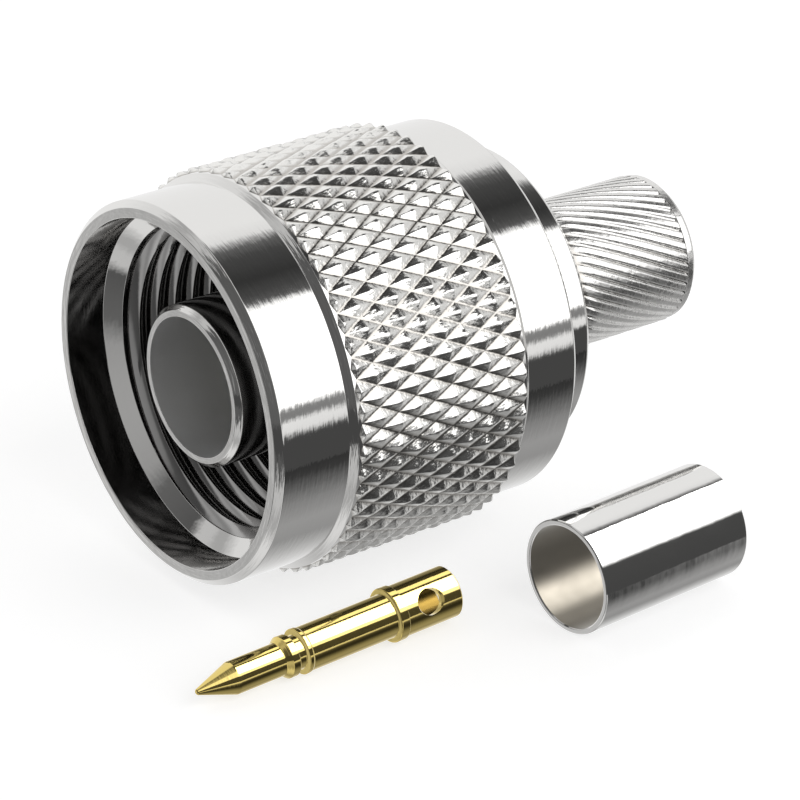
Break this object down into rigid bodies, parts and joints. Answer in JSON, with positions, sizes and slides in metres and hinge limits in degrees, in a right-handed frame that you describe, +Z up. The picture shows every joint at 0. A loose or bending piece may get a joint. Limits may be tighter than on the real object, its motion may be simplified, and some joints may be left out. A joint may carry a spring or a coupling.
{
  "type": "n type connector",
  "caption": "Radio-frequency cable plug with a knurled coupling nut that turns, a ribbed crimp stem, a loose gold centre pin and a crimp ferrule.",
  "frame": {"origin": "centre of the contact sleeve's front face, on the plug's axis", "axes": "+X along the plug's axis from its open front to the cable, +Z up, the surface it lies on is 10.25 mm below the axis"},
  "size_m": [0.0362, 0.0285, 0.0206],
  "materials": {
    "nickel_plate": "brass under bright nickel plate",
    "spring_bronze": "phosphor bronze spring ring",
    "gold_plate": "brass under gold plate",
    "ptfe": "white PTFE",
    "black_rubber": "matt"
  },
  "bodies": {
    "plug_body": {"front_shell": "nickel_plate", "crimp_stem": "nickel_plate", "retaining_ring": "spring_bronze", "gasket": "black_rubber", "insulator_bead": "ptfe", "centre_pin": "gold_plate", "crimp_ferrule": "nickel_plate"},
    "nut": {"coupling_nut": "nickel_plate"}
  },
  "joints": [
    {"name": "nut_spin", "type": "hinge", "parent": "plug_body", "child": "nut", "pos_m": [0.01485, 0, 0], "axis": [1, 0, 0], "continuous": true}
  ]
}
